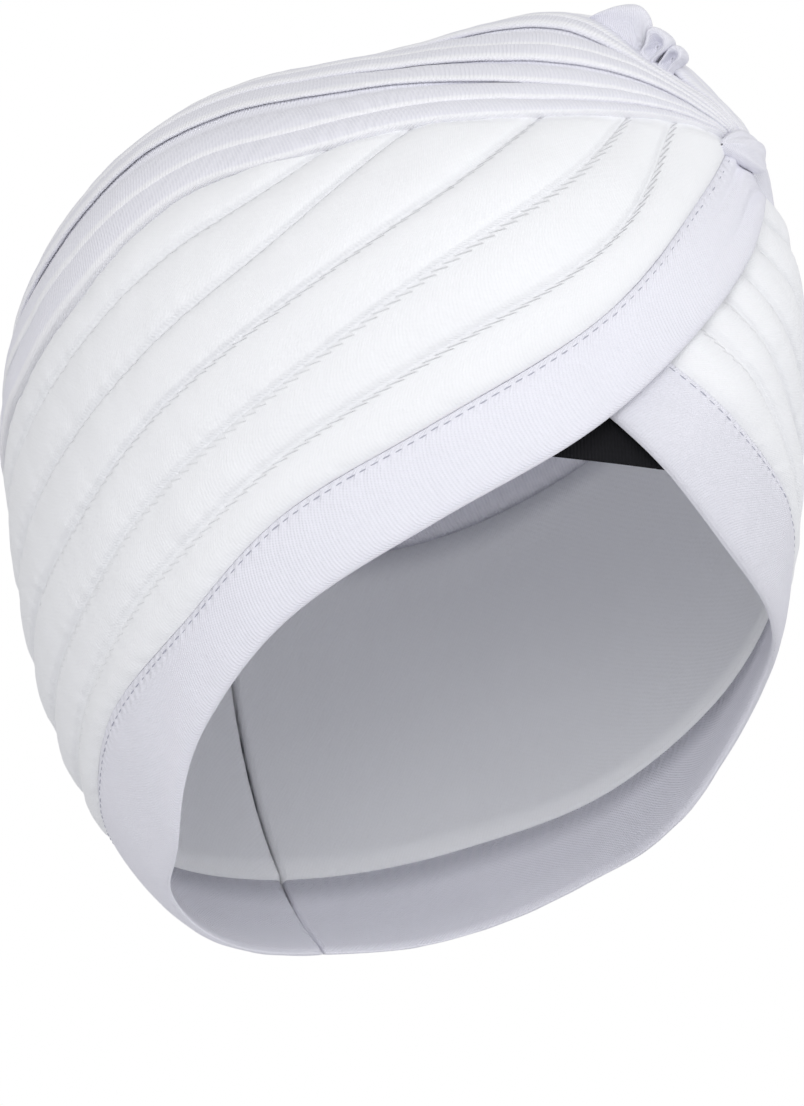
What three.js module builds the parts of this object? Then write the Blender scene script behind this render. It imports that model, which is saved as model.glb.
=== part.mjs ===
import * as THREE from "three";

// A pre-tied turban as worn: two quilted panels that cross over the forehead, plain hem bands along
// their lower edges, a pleated jersey crown, and the knot that binds them at the front left.
// Millimetres, +Z up. The wearer faces -Y and the wearer's left is +X.
// The origin is where the top of the head touches the inside of the crown.

// Outer form of the wound cloth, measured from its centre
const HALF_WIDTH = 86.3;
const FRONT_REACH = 106.3;
const BACK_REACH = 116.1;
const TOP_RISE = 79.6;
const BOTTOM_DROP = 131.75;
const PLAN_POWER = 2.06;
const SIDE_POWER = 2.26;
// Where the cloth stands prouder than the plain form, or lies flatter (a negative rise)
const SWELLS = [
  { place: "knot", rise: 18.4, azimuth: 46.4, elevation: 52, spread: 23.5 },
  { place: "gathers", rise: -8.2, azimuth: 40, elevation: 47.5, spread: 10.5 },
  { place: "right_crown", rise: -2, azimuth: -110, elevation: 28, spread: 18 },
  { place: "top", rise: -1.6, azimuth: -32, elevation: 62, spread: 24 },
  { place: "left_of_knot", rise: 3, azimuth: 63, elevation: 15, spread: 13 },
  { place: "nape", rise: 4, azimuth: 180, elevation: -62, spread: 32 },
];

// Depths below the form, and heights of the relief on it
const QUILT_DEPTH = 4.4;
const STITCH_DEPTH = 1.4;
const CHANNEL_PUFF = 2.0;
const CROWN_DEPTH = 3.0;
const PLEAT_FOOT = 1.0;
const PLEAT_STEP = 2.2;
const INSERT_DEPTH = 5.3;
const INSERT_THICKNESS = 1.2;
const UNDERLAP = 5.8;

// Degrees: half the gap at a seam, the half gap at the back seam, and how a cut row bends to its seam
const SEAM_GAP = 0.1;
const BACK_GAP = 0.15;
const CUT_BEND = 18;

// How the hem's face and back run from the lower edge (0) to the stitch (1): rounded at the edge
const HEM_FACE = [
  { place: 0, depth: 1.9 },
  { place: 0.07, depth: 0.9 },
  { place: 0.35, depth: 0.5 },
  { place: 0.75, depth: 0.5 },
  { place: 0.93, depth: 0.9 },
  { place: 1, depth: STITCH_DEPTH },
];
const HEM_BACK = [
  { place: 0, depth: 2.3 },
  { place: 0.08, depth: 2.9 },
  { place: 1, depth: 2.9 },
];

// Rows across one quilted channel, and across one pleat: its crease, its fold edge, its flat
const CHANNEL_ROWS = [0, 0.2, 0.5, 0.8];
const CHANNEL_ROUNDNESS = 0.6;
const PLEAT_ROWS = [
  { place: 0, rise: 0 },
  { place: 0.14, rise: 1 },
  { place: 0.6, rise: 0.77 },
];

// Directions from the form's centre, in degrees: azimuth 0 is the front and elevation 0 is level.
// These stations are azimuths on the wearer's right; the left-hand lines use them mirrored.
const STATIONS = {
  nape: -180,
  behind: -150,
  ear: -115,
  side: -85,
  temple: -60,
  brow: -40,
  inner: -20,
  centre: 0,
  outer: 20,
  knot: 44,
};

// Elevation of each line of the right panel at the stations, and the azimuth where it is cut off.
const RIGHT_LINES = [
  { line: "edge", cut: 44, nape: -65, behind: -65.5, ear: -62.5, side: -58, temple: -44,
    brow: -30.5, inner: -19.5, centre: -8.5, outer: 7, knot: 24.5 },
  { line: "hem", cut: 36, nape: -52, behind: -51.5, ear: -50, side: -42, temple: -32,
    brow: -18.5, inner: -8, centre: 3.7, outer: 20.5, knot: 35.5 },
  { line: "quilt_a", cut: 22.5, nape: -46, behind: -46, ear: -45, side: -36.5, temple: -24,
    brow: -11.5, inner: 0, centre: 11.5, outer: 28.5, knot: 46 },
  { line: "quilt_b", cut: 14, nape: -39, behind: -40, ear: -37.5, side: -28.5, temple: -14.2,
    brow: -2.5, inner: 10.3, centre: 22.7, outer: 36, knot: 50 },
  { line: "quilt_c", cut: -1, nape: -32.5, behind: -33, ear: -28, side: -18, temple: -3.6,
    brow: 7.5, inner: 19.6, centre: 33, outer: 46, knot: 60 },
  { line: "quilt_d", cut: -21, nape: -26, behind: -26.5, ear: -18, side: -6, temple: 6.5,
    brow: 17.6, inner: 34, centre: 48, outer: 60, knot: 70 },
  { line: "quilt_e", cut: -34, nape: -20, behind: -18.5, ear: -6.5, side: 6.3, temple: 18.5,
    brow: 26.8, inner: 40, centre: 52, outer: 62, knot: 70 },
  { line: "seam", cut: -47, nape: -13, behind: -10.5, ear: 1.5, side: 14.5, temple: 27.7,
    brow: 30, inner: 33, centre: 33.5, outer: 33.1, knot: 29.8 },
];

const LEFT_LINES = [
  { line: "edge", cut: 16, nape: -65, behind: -65.5, ear: -62.5, side: -57, temple: -39.5,
    brow: -31.5, inner: -22, centre: -5.5, outer: 12, knot: 30 },
  { line: "hem", cut: 8, nape: -52, behind: -51.5, ear: -50, side: -42, temple: -29,
    brow: -17, inner: -6.5, centre: 8, outer: 22, knot: 36 },
  { line: "quilt_a", cut: 0, nape: -46, behind: -46, ear: -45, side: -36.5, temple: -24,
    brow: -12, inner: 2.5, centre: 17, outer: 31, knot: 45 },
  { line: "quilt_b", cut: -7, nape: -39, behind: -40, ear: -37.5, side: -28.5, temple: -15,
    brow: -4.5, inner: 11, centre: 26, outer: 38, knot: 50 },
  { line: "quilt_c", cut: -16, nape: -32.5, behind: -33, ear: -28, side: -18, temple: -4.5,
    brow: 5, inner: 20, centre: 34, outer: 46, knot: 58 },
  { line: "quilt_d", cut: -26, nape: -26, behind: -26.5, ear: -18, side: -6.5, temple: 6,
    brow: 16, inner: 31, centre: 44, outer: 54, knot: 64 },
  { line: "quilt_e", cut: -36, nape: -20, behind: -18.5, ear: -6.5, side: 6, temple: 17,
    brow: 25, inner: 38, centre: 50, outer: 60, knot: 70 },
  { line: "seam", cut: -45, nape: -13, behind: -10.5, ear: 1.5, side: 14.5, temple: 26,
    brow: 32, inner: 42, centre: 52, outer: 60, knot: 70 },
];

// Azimuth where the right hem's upper edge ends, under the knot
const KNOT_END = 42;

// Crown: knife pleats that fan from the knot over the top to the gathered seam at the back.
const PLEATS = 14;
const CROWN_FRONT = { right: 39, left: 53, middle_azimuth: 46.5, middle_elevation: 31 };
const CROWN_TOP = { azimuth: -90, elevation: 78 };
const CROWN_BACK = { right: -168, left: 168, middle_azimuth: 180, middle_elevation: -11.5 };
const FAN_CROWDING = 1.15;

// The dark cloth in the notch: its lower edge falls a little towards the wearer's left.
const INSERT = { right: -22, left: 28, lower: -13, fall: 0.08, upper: 9 };

// The roll at the knot and the pleat ends that stand up behind it, in degrees and millimetres. Each
// sits this far above the form, clear of the fold edges. A lobe is lower towards its ends, and its crest
// is a power that moves its highest point: above 0.7 towards the far end.
const SEAT = 1.7;
const WRAP = { azimuth: 38.3, elevation: 29.9, heading: 2, length: 24, width: 13, height: 2.6, base: 0.8 };
const WRAP_END_FULLNESS = 0.94;
const LOBE_END_HEIGHT = 0.12;
const LOBES = [
  { letter: "a", azimuth: 41, elevation: 54.8, heading: -90, length: 16, height: 6.8, width: 5, crest: 1.6 },
  { letter: "b", azimuth: 41, elevation: 49.2, heading: 10, length: 9, height: 5.6, width: 4.6, crest: 0.8 },
  { letter: "c", azimuth: 42.3, elevation: 47, heading: 10, length: 8, height: 4.4, width: 3.6, crest: 0.8 },
];
// A lobe's cross-section: a rounded head on a narrower root, in shares of its width and height
const LOBE_OUTLINE = [
  { across: -0.3, up: 0 },
  { across: 0.3, up: 0 },
  { across: 0.34, up: 0.4 },
  { across: 0.5, up: 0.7 },
  { across: 0.4, up: 0.93 },
  { across: 0, up: 1 },
  { across: -0.4, up: 0.93 },
  { across: -0.5, up: 0.7 },
  { across: -0.34, up: 0.4 },
];

const MATERIALS = {
  quilt: { color: 0xf0f0f6, roughness: 0.93 },
  hem: { color: 0xebebf4, roughness: 0.85 },
  jersey: { color: 0xe4e5ee, roughness: 0.82 },
  knot: { color: 0xe0e0ea, roughness: 0.84 },
  insert: { color: 0x1c1c21, roughness: 0.9 },
};

const rad = THREE.MathUtils.degToRad;
const smooth = THREE.MathUtils.smoothstep;
const lerp = THREE.MathUtils.lerp;

function direction(azimuth, elevation) {
  const level = Math.cos(rad(elevation));
  return new THREE.Vector3(
    Math.sin(rad(azimuth)) * level,
    -Math.cos(rad(azimuth)) * level,
    Math.sin(rad(elevation)),
  );
}

const SWELL_SHAPES = SWELLS.map(({ rise, azimuth, elevation, spread }) => (
  { rise, middle: direction(azimuth, elevation), spread: rad(spread) }));

function formRadius(dir) {
  const across = Math.abs(dir.x) / HALF_WIDTH;
  const along = Math.abs(dir.y) / (dir.y < 0 ? FRONT_REACH : BACK_REACH);
  const rise = Math.abs(dir.z) / (dir.z > 0 ? TOP_RISE : BOTTOM_DROP);
  const level = (across ** PLAN_POWER + along ** PLAN_POWER) ** (1 / PLAN_POWER);
  const plain = (level ** SIDE_POWER + rise ** SIDE_POWER) ** (-1 / SIDE_POWER);
  return SWELL_SHAPES.reduce((radius, swell) =>
    radius + swell.rise * Math.exp(-((dir.angleTo(swell.middle) / swell.spread) ** 2)), plain);
}

const CENTRE_HEIGHT = CROWN_DEPTH - formRadius(new THREE.Vector3(0, 0, 1));

// A point of the form, moved out or in along its direction from the centre.
function onForm(dir, offset) {
  const point = dir.clone().multiplyScalar(formRadius(dir) + offset);
  point.z += CENTRE_HEIGHT;
  return point;
}

// The direction in which a point lies from the form's centre.
function directionOf(point) {
  return point.clone().setZ(point.z - CENTRE_HEIGHT).normalize();
}

// Elevation of a tabled line at any azimuth.
function lineCurve(row) {
  const names = Object.keys(STATIONS);
  const curve = new THREE.CubicInterpolant(
    names.map((name) => STATIONS[name]),
    names.map((name) => row[name]),
    1,
  );
  return (azimuth) => curve.evaluate(azimuth)[0];
}

function curvesOf(rows) {
  return Object.fromEntries(rows.map((row) => [row.line, lineCurve(row)]));
}

const RIGHT = curvesOf(RIGHT_LINES);
const LEFT = curvesOf(LEFT_LINES);

// How deep the left side lies under the right one: nothing clear of the crossing, its full depth
// where the right panel's padding begins. Past the knot the right edge is taken to climb on.
const LAP_RAMP = { clear: -14, full: 8, climb: 0.8, right_end: -60, right_full: -30 };

function underlap(azimuth, elevation) {
  const pastKnot = Math.max(0, azimuth - STATIONS.knot);
  const above = elevation - RIGHT.edge(azimuth - pastKnot) - pastKnot * LAP_RAMP.climb;
  const under = smooth(above, LAP_RAMP.clear, LAP_RAMP.full);
  return UNDERLAP * under * smooth(azimuth, LAP_RAMP.right_end, LAP_RAMP.right_full);
}

// The hem stitch, which meets the crown seam where the right panel is cut off and then follows it.
function hemLine(rows, curves, side) {
  const cut = rows.find((row) => row.line === "hem").cut;
  if (side > 0) return curves.hem;
  const lift = curves.seam(cut) - curves.hem(cut);
  const bent = (azimuth) => curves.hem(azimuth) + lift * smooth(azimuth, cut - CUT_BEND, cut);
  return (azimuth) => (azimuth > cut ? curves.seam(azimuth) : bent(azimuth));
}

function geometryOf(positions, indices) {
  const geometry = new THREE.BufferGeometry();
  geometry.setAttribute("position", new THREE.Float32BufferAttribute(positions, 3));
  geometry.setIndex(indices);
  geometry.computeVertexNormals();
  return geometry;
}

// Closes the strip between two point rows that share their ends, however many points each has.
function zipRows(indices, first, second) {
  let i = 0;
  let j = 0;
  while (i < first.length - 1 || j < second.length - 1) {
    const nextFirst = (i + 1) / (first.length - 1);
    const nextSecond = (j + 1) / (second.length - 1);
    if (j >= second.length - 1 || (i < first.length - 1 && nextFirst <= nextSecond)) {
      indices.push(first[i], first[i + 1], second[j]);
      i += 1;
    } else {
      indices.push(first[i], second[j + 1], second[j]);
      j += 1;
    }
  }
}

function gridFaces(indices, grid) {
  for (let r = 0; r + 1 < grid.length; r += 1) {
    for (let c = 0; c + 1 < grid[r].length; c += 1) {
      indices.push(grid[r][c], grid[r][c + 1], grid[r + 1][c + 1]);
      indices.push(grid[r][c], grid[r + 1][c + 1], grid[r + 1][c]);
    }
  }
}

// One closed sheet of cloth from a grid of outer points and a coarser grid of inner ones.
// Both grids run the same way, with the same number of columns.
function closedSheet(outer, inner) {
  const positions = [];
  const number = (point) => {
    positions.push(point.x, point.y, point.z);
    return positions.length / 3 - 1;
  };
  const out = outer.map((row) => row.map(number));
  const back = inner.map((row) => row.map(number));
  const indices = [];
  const column = (grid, c) => grid.map((row) => row[c]);
  const last = out[0].length - 1;
  gridFaces(indices, out);
  gridFaces(indices, reversed(back));
  zipRows(indices, back[0], out[0]);
  zipRows(indices, out[out.length - 1], back[back.length - 1]);
  zipRows(indices, column(out, 0), column(back, 0));
  zipRows(indices, column(back, last), column(out, last));
  return geometryOf(positions, indices);
}

function addPiece(group, name, geometry, look) {
  const material = new THREE.MeshStandardMaterial({ ...MATERIALS[look], metalness: 0 });
  const mesh = new THREE.Mesh(geometry, material);
  mesh.name = name;
  group.add(mesh);
}

// Rows of points between two lines. Each row and column asks the given functions where it lies.
function pointGrid(rowPlaces, columns, placeAt) {
  return rowPlaces.map((place) =>
    Array.from({ length: columns + 1 }, (_, c) => placeAt(place, c / columns)));
}

function reversed(grid) {
  return grid.map((row) => [...row].reverse());
}

// The left side's grids run the other way round, so that their faces look out too.
function sidedSheet(side, outer, inner) {
  return side < 0 ? closedSheet(outer, inner) : closedSheet(reversed(outer), reversed(inner));
}

// A point of one side. side is -1 on the wearer's right and 1 on the left, which lies under at the front.
function onSide(side, azimuth, elevation, depth) {
  const lap = side > 0 ? underlap(-azimuth, elevation) : 0;
  return onForm(direction(-side * azimuth, elevation), -depth - lap);
}

// A quilted panel: channels of padding between the hem stitch and the crown seam, cut off at the front.
// On the right the cut follows the seam; on the left it is hidden under the right panel.
function quiltedPanel(rows, curves, side, columns, innerRows) {
  const lines = rows.filter((row) => row.line !== "edge");
  const last = lines.length - 1;
  const places = (steps) => [...lines.slice(1).flatMap((_, k) => steps.map((step) => k + step)), last];
  const between = (place, valueOf) => {
    const k = Math.min(Math.floor(place), last - 1);
    return lerp(valueOf(lines[k]), valueOf(lines[k + 1]), place - k);
  };
  const sample = (place, along, depth) => {
    const cut = between(place, (row) => row.cut);
    const azimuth = lerp(STATIONS.nape + BACK_GAP, cut, along);
    const elevationAt = (where) => between(place, (row) => curves[row.line](where));
    const lift = side < 0 ? curves.seam(cut) - elevationAt(cut) : 0;
    let elevation = elevationAt(azimuth) + lift * smooth(azimuth, cut - CUT_BEND, cut);
    if (place === 0) elevation += SEAM_GAP;
    if (place === last || along === 1) elevation -= SEAM_GAP;
    return onSide(side, azimuth, elevation, depth);
  };
  const faceDepth = (place) => {
    const across = place - Math.floor(place);
    return STITCH_DEPTH - CHANNEL_PUFF * (4 * across * (1 - across)) ** CHANNEL_ROUNDNESS;
  };
  const layer = (steps, depthAt) =>
    pointGrid(places(steps), columns, (place, along) => sample(place, along, depthAt(place)));
  return sidedSheet(side, layer(CHANNEL_ROWS, faceDepth), layer(innerRows, () => QUILT_DEPTH));
}

// The plain hem band between the panel's stitched line and its lower edge. On the right it runs on
// beside the crown seam to the knot.
function hemBand(rows, curves, side, columns) {
  const [edge, hem] = rows;
  const upper = hemLine(rows, curves, side);
  const upperCut = side < 0 ? KNOT_END : hem.cut;
  const sample = ({ place, depth }, along) => {
    const azimuth = lerp(STATIONS.nape + BACK_GAP, lerp(edge.cut, upperCut, place), along);
    const elevation = lerp(curves.edge(azimuth), upper(azimuth) - SEAM_GAP, place);
    return onSide(side, azimuth, elevation, depth);
  };
  return sidedSheet(side, pointGrid(HEM_FACE, columns, sample), pointGrid(HEM_BACK, columns, sample));
}

function arc(from, to, share) {
  const angle = from.angleTo(to);
  const a = Math.sin((1 - share) * angle) / Math.sin(angle);
  const b = Math.sin(share * angle) / Math.sin(angle);
  return from.clone().multiplyScalar(a).addScaledVector(to, b);
}

// A point of the crown: across runs from the right seam over the top to the left one, along from the
// knot to the back.
function crownDirection(across, along) {
  const rightAzimuth = lerp(CROWN_FRONT.right, CROWN_BACK.right, along);
  const leftAzimuth = lerp(CROWN_FRONT.left, CROWN_BACK.left, along);
  const right = direction(rightAzimuth, RIGHT.seam(rightAzimuth) + SEAM_GAP);
  const left = direction(leftAzimuth, LEFT.seam(-leftAzimuth) + SEAM_GAP);
  const front = direction(CROWN_FRONT.middle_azimuth, CROWN_FRONT.middle_elevation);
  const back = direction(CROWN_BACK.middle_azimuth, CROWN_BACK.middle_elevation);
  const top = direction(CROWN_TOP.azimuth, CROWN_TOP.elevation);
  const middle = arc(arc(front, top, along), arc(top, back, along), along);
  return across < 0.5 ? arc(right, middle, across * 2) : arc(middle, left, across * 2 - 1);
}

// The pleats lie closer together beside the seams near the knot, and evenly at the back.
function fanShare(pleat, along) {
  const share = pleat / PLEATS;
  const power = lerp(FAN_CROWDING, 1, smooth(along, 0.4, 0.6));
  const fromSeam = 1 - Math.abs(2 * share - 1);
  return 0.5 + Math.sign(share - 0.5) * 0.5 * (1 - fromSeam ** power);
}

function pleatedCrown(columns) {
  const sample = ({ pleat, height }, along) =>
    onForm(crownDirection(fanShare(pleat, along), along).normalize(), height);
  const onePleat = (_, k) =>
    PLEAT_ROWS.map(({ place, rise }) => ({ pleat: k + place, height: PLEAT_STEP * rise - PLEAT_FOOT }));
  const face = Array.from({ length: PLEATS }, onePleat).flat();
  face.push({ pleat: PLEATS, height: -PLEAT_FOOT });
  const back = Array.from({ length: PLEATS / 2 + 1 }, (_, k) => ({ pleat: 2 * k, height: -CROWN_DEPTH }));
  const layer = (rows) => reversed(pointGrid(rows, columns, sample));
  return closedSheet(layer(face), layer(back));
}

// The dark knit insert that closes the notch, behind both hems.
function browInsert(columns) {
  const sample = (place, along, depth) => {
    const azimuth = lerp(INSERT.right, INSERT.left, along);
    const elevation = lerp(INSERT.lower - INSERT.fall * azimuth, INSERT.upper, place);
    return onForm(direction(azimuth, elevation), -depth - underlap(azimuth, elevation));
  };
  const layer = (depth) =>
    pointGrid([0, 0.2, 0.4, 0.6, 0.8, 1], columns, (place, along) => sample(place, along, depth));
  return closedSheet(layer(INSERT_DEPTH), layer(INSERT_DEPTH + INSERT_THICKNESS));
}

// Where a small piece sits on the form, the way along it and the way across it.
function seatOn(azimuth, elevation, heading) {
  const out = direction(azimuth, elevation);
  const along = new THREE.Vector3(0, 0, 1).cross(out).normalize().applyAxisAngle(out, rad(heading));
  return { at: onForm(out, 0), along, across: out.clone().cross(along) };
}

// A closed tube of cloth from rings of points, with its ends closed by a fan.
function closedRings(rings) {
  const positions = [];
  const indices = [];
  const count = rings[0].length;
  rings.flat().forEach((point) => positions.push(...point));
  [rings[0], rings[rings.length - 1]].forEach((ring) => {
    const sum = ring.reduce((total, point) => total.add(point), new THREE.Vector3());
    positions.push(...sum.divideScalar(count));
  });
  const first = rings.length * count;
  for (let k = 0; k < count; k += 1) {
    const next = (k + 1) % count;
    for (let r = 0; r + 1 < rings.length; r += 1) {
      const a = r * count + k;
      const b = r * count + next;
      indices.push(a, b, b + count);
      indices.push(a, b + count, a + count);
    }
    indices.push(first, next, k);
    indices.push(first + 1, first - count + k, first - count + next);
  }
  return geometryOf(positions, indices);
}

// A standing fold: a rounded head on a narrower root, fading out along its length.
function ruffleLobe({ azimuth, elevation, heading, length, height, width, crest }, sections) {
  const seat = seatOn(azimuth, elevation, heading);
  const rings = Array.from({ length: sections + 1 }, (_, s) => {
    const share = s / sections;
    const fullness = Math.max(LOBE_END_HEIGHT, Math.sin(Math.PI * share ** crest) ** 0.6);
    const dir = directionOf(seat.at.clone().addScaledVector(seat.along, length * (share - 0.5)));
    const foot = onForm(dir, SEAT);
    return LOBE_OUTLINE.map(({ across, up }) =>
      foot.clone()
        .addScaledVector(seat.across, across * width * lerp(0.35, 1, fullness))
        .addScaledVector(dir, up * height * fullness));
  });
  return closedRings(rings);
}

// The short roll that binds the gathers. It widens towards the wearer's left and is tucked down at both
// ends.
function knotWrap(sections, around) {
  const { azimuth, elevation, heading, length, width, height, base } = WRAP;
  const seat = seatOn(azimuth, elevation, heading);
  const rings = Array.from({ length: sections + 1 }, (_, s) => {
    const share = (2 * s) / sections - 1;
    const full = Math.sqrt(1 - WRAP_END_FULLNESS * share * share);
    const halfWidth = (width / 2) * full * (0.7 + 0.3 * share);
    return Array.from({ length: around }, (_point, k) => {
      const turn = (2 * Math.PI * k) / around;
      const spot = seat.at.clone()
        .addScaledVector(seat.along, (length / 2) * share)
        .addScaledVector(seat.across, Math.cos(turn) * halfWidth);
      const up = Math.max(0, Math.sin(turn)) ** 0.8 * height * full;
      const under = Math.min(0, Math.sin(turn)) * base;
      return onForm(directionOf(spot), SEAT + base + up + under);
    });
  });
  return closedRings(rings);
}

const turban = new THREE.Group();
addPiece(turban, "right_panel", quiltedPanel(RIGHT_LINES, RIGHT, -1, 36, [0, 0.5]), "quilt");
addPiece(turban, "right_hem", hemBand(RIGHT_LINES, RIGHT, -1, 44), "hem");
addPiece(turban, "left_panel", quiltedPanel(LEFT_LINES, LEFT, 1, 30, [0, 0.5]), "quilt");
addPiece(turban, "left_hem", hemBand(LEFT_LINES, LEFT, 1, 38), "hem");
addPiece(turban, "crown", pleatedCrown(30), "jersey");
addPiece(turban, "brow_insert", browInsert(14), "insert");
addPiece(turban, "knot_wrap", knotWrap(10, 14), "knot");
LOBES.forEach((lobe) => addPiece(turban, `ruffle_lobe_${lobe.letter}`, ruffleLobe(lobe, 8), "knot"));

export default turban;
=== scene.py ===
import math

import bpy
import numpy as np
from mathutils import Matrix, Vector, noise


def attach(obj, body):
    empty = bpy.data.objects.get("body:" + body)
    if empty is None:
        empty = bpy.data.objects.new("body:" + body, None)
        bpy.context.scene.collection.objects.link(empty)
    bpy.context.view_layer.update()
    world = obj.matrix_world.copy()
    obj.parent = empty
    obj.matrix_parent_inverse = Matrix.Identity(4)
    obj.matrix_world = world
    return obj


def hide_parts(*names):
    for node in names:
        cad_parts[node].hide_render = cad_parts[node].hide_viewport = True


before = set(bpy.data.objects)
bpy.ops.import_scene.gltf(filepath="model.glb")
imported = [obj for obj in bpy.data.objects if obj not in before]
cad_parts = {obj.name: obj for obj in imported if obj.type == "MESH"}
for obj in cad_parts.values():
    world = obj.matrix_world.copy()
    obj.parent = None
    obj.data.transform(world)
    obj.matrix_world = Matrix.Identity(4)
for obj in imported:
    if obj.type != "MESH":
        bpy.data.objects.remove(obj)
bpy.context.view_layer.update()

# Camera and studio
# The camera stands in front of the wearer's right brow and a little below it, with a long lens. The
# turban is held up in the air, so the pale floor lies well below it, and the room is plain white.
VIEW_AZIMUTH = math.radians(-24.2)
VIEW_ELEVATION = math.radians(-5.04)
VIEW_ROLL = math.radians(-2.19)
VIEW_TARGET = Vector((0, -0.0074, -0.1194))
VIEW_DISTANCE = 1.5

level = math.cos(VIEW_ELEVATION)
backward = Vector((
    math.sin(VIEW_AZIMUTH) * level,
    -math.cos(VIEW_AZIMUTH) * level,
    math.sin(VIEW_ELEVATION),
))
rightward = Vector((math.cos(VIEW_AZIMUTH), math.sin(VIEW_AZIMUTH), 0))
rightward.rotate(Matrix.Rotation(VIEW_ROLL, 3, backward))
upward = backward.cross(rightward)

bpy.ops.object.camera_add()
camera = bpy.context.object
camera.name = "camera"
turned = Matrix((rightward, upward, backward)).transposed().to_4x4()
camera.matrix_world = Matrix.Translation(VIEW_TARGET + backward * VIEW_DISTANCE) @ turned
camera.data.sensor_fit = "VERTICAL"
camera.data.sensor_height = 36
camera.data.lens = 214.3
camera.data.shift_x = -0.018
camera.data.shift_y = 0.0333
bpy.context.scene.camera = camera
bpy.context.scene.view_settings.view_transform = "Standard"


def linear(hex_colour):
    """An sRGB hex colour as the linear RGBA that the shaders take."""
    parts = [int(hex_colour[i:i + 2], 16) / 255 for i in (1, 3, 5)]
    return [c / 12.92 if c <= 0.04045 else ((c + 0.055) / 1.055) ** 2.4 for c in parts] + [1]


def add_node(tree, kind, settings=None, **inputs):
    """Adds a node with its settings. Each input, written with _ for a space, is a value or a socket."""
    made = tree.nodes.new("ShaderNode" + kind)
    for name, value in (settings or {}).items():
        setattr(made, name, value)
    for name, value in inputs.items():
        key = int(name[1:]) if name[1:].isdigit() else name.replace("_", " ")
        if isinstance(value, bpy.types.NodeSocket):
            tree.links.new(value, made.inputs[key])
        else:
            made.inputs[key].default_value = value
    return made


def paint_floor():
    """Matt studio paper: pale, even and without a sheen."""
    paper = bpy.data.materials.new("studio_paper")
    paper.use_nodes = True
    surface = paper.node_tree.nodes["Principled BSDF"]
    surface.inputs["Base Color"].default_value = linear("#EEEEF0")
    surface.inputs["Roughness"].default_value = 0.95
    return paper


bpy.ops.mesh.primitive_plane_add(size=8, location=(0, 0, -0.42))
floor = bpy.context.object
floor.name = "floor"
floor.data.materials.append(paint_floor())

# The room's light is strongest at eye level and weaker from the ceiling
LEVEL_STRENGTH, CEILING_STRENGTH = 0.75, 0.54
room = bpy.data.worlds.new("white_room")
room.use_nodes = True
room.node_tree.nodes.clear()
seen = add_node(room.node_tree, "LightPath").outputs["Is Camera Ray"]
plain = add_node(room.node_tree, "Background", Color=linear("#FFFFFF"), Strength=1.0)
way_up = add_node(room.node_tree, "TexCoord").outputs["Generated"]
height = add_node(room.node_tree, "SeparateXYZ", Vector=way_up).outputs["Z"]
strength = add_node(room.node_tree, "MapRange", Value=height, From_Min=0.0, From_Max=0.9,
                    To_Min=LEVEL_STRENGTH, To_Max=CEILING_STRENGTH)
soft = add_node(room.node_tree, "Background", Color=linear("#FFFFFF"), Strength=strength.outputs[0])
both = add_node(room.node_tree, "MixShader", Fac=seen, _1=soft.outputs[0], _2=plain.outputs[0])
add_node(room.node_tree, "OutputWorld", Surface=both.outputs[0])
bpy.context.scene.world = room

# Each light's place, its size in metres and its power in watts; all point at the turban
LIGHTS = [
    ("key_softbox", (-0.55, -1.3, 0.25), 0.6, 6.2),
    ("left_softbox", (-1.3, -0.3, 0.2), 0.8, 0.7),
    ("right_softbox", (1.2, -0.8, 0.2), 0.8, 3.2),
]
for name, place, size, power in LIGHTS:
    bpy.ops.object.light_add(type="AREA", location=place)
    lamp = bpy.context.object
    lamp.name = name
    lamp.data.size = size
    lamp.data.energy = power
    lamp.rotation_euler = (VIEW_TARGET - Vector(place)).to_track_quat("-Z", "Y").to_euler()

# Right panel
# Cotton jersey quilted over thin wadding, cut as one curved piece. It is stitched to the hem below and
# the crown above, runs from the seam at the nape to the knot, and lies over the left panel at the brow.
# The cloth follows a rounded form: half width, reach to front and back, rise and drop, in millimetres
HALF_WIDTH, FRONT_REACH, BACK_REACH, TOP_RISE, BOTTOM_DROP = 86.3, 106.3, 116.1, 79.6, 131.75
PLAN_POWER, SIDE_POWER = 2.06, 2.26
# Where the cloth stands prouder or lies flatter: rise, azimuth, elevation, spread
SWELLS = [
    (18.4, 46.4, 52, 23.5),
    (-8.2, 40, 47.5, 10.5),
    (-2, -110, 28, 18),
    (-1.6, -32, 62, 24),
    (3, 63, 15, 13),
    (4, 180, -62, 32),
]
CENTRE_DROP = 77.54

NAPE = -179.98
STATIONS = [-180, -150, -115, -85, -60, -40, -20, 0, 20, 44]
RIGHT_LINES = {
    "edge": (44, [-65, -65.5, -62.5, -58, -44, -30.5, -19.5, -8.5, 7, 24.5]),
    "hem": (36, [-52, -51.5, -50, -42, -32, -18.5, -8, 3.7, 20.5, 35.5]),
    "quilt_a": (22.5, [-46, -46, -45, -36.5, -24, -11.5, 0, 11.5, 28.5, 46]),
    "quilt_b": (14, [-39, -40, -37.5, -28.5, -14.2, -2.5, 10.3, 22.7, 36, 50]),
    "quilt_c": (-1, [-32.5, -33, -28, -18, -3.6, 7.5, 19.6, 33, 46, 60]),
    "quilt_d": (-21, [-26, -26.5, -18, -6, 6.5, 17.6, 34, 48, 60, 70]),
    "quilt_e": (-34, [-20, -18.5, -6.5, 6.3, 18.5, 26.8, 40, 52, 62, 70]),
    "seam": (-47, [-13, -10.5, 1.5, 14.5, 27.7, 30, 33, 33.5, 33.1, 29.8]),
}


def direction(azimuth, elevation):
    """Unit vectors for directions in degrees: azimuth 0 is the front, positive to the wearer's left."""
    azimuth, elevation = np.radians(azimuth), np.radians(elevation)
    level = np.cos(elevation)
    parts = np.broadcast_arrays(np.sin(azimuth) * level, -np.cos(azimuth) * level, np.sin(elevation))
    return np.stack(parts, axis=-1)


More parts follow.
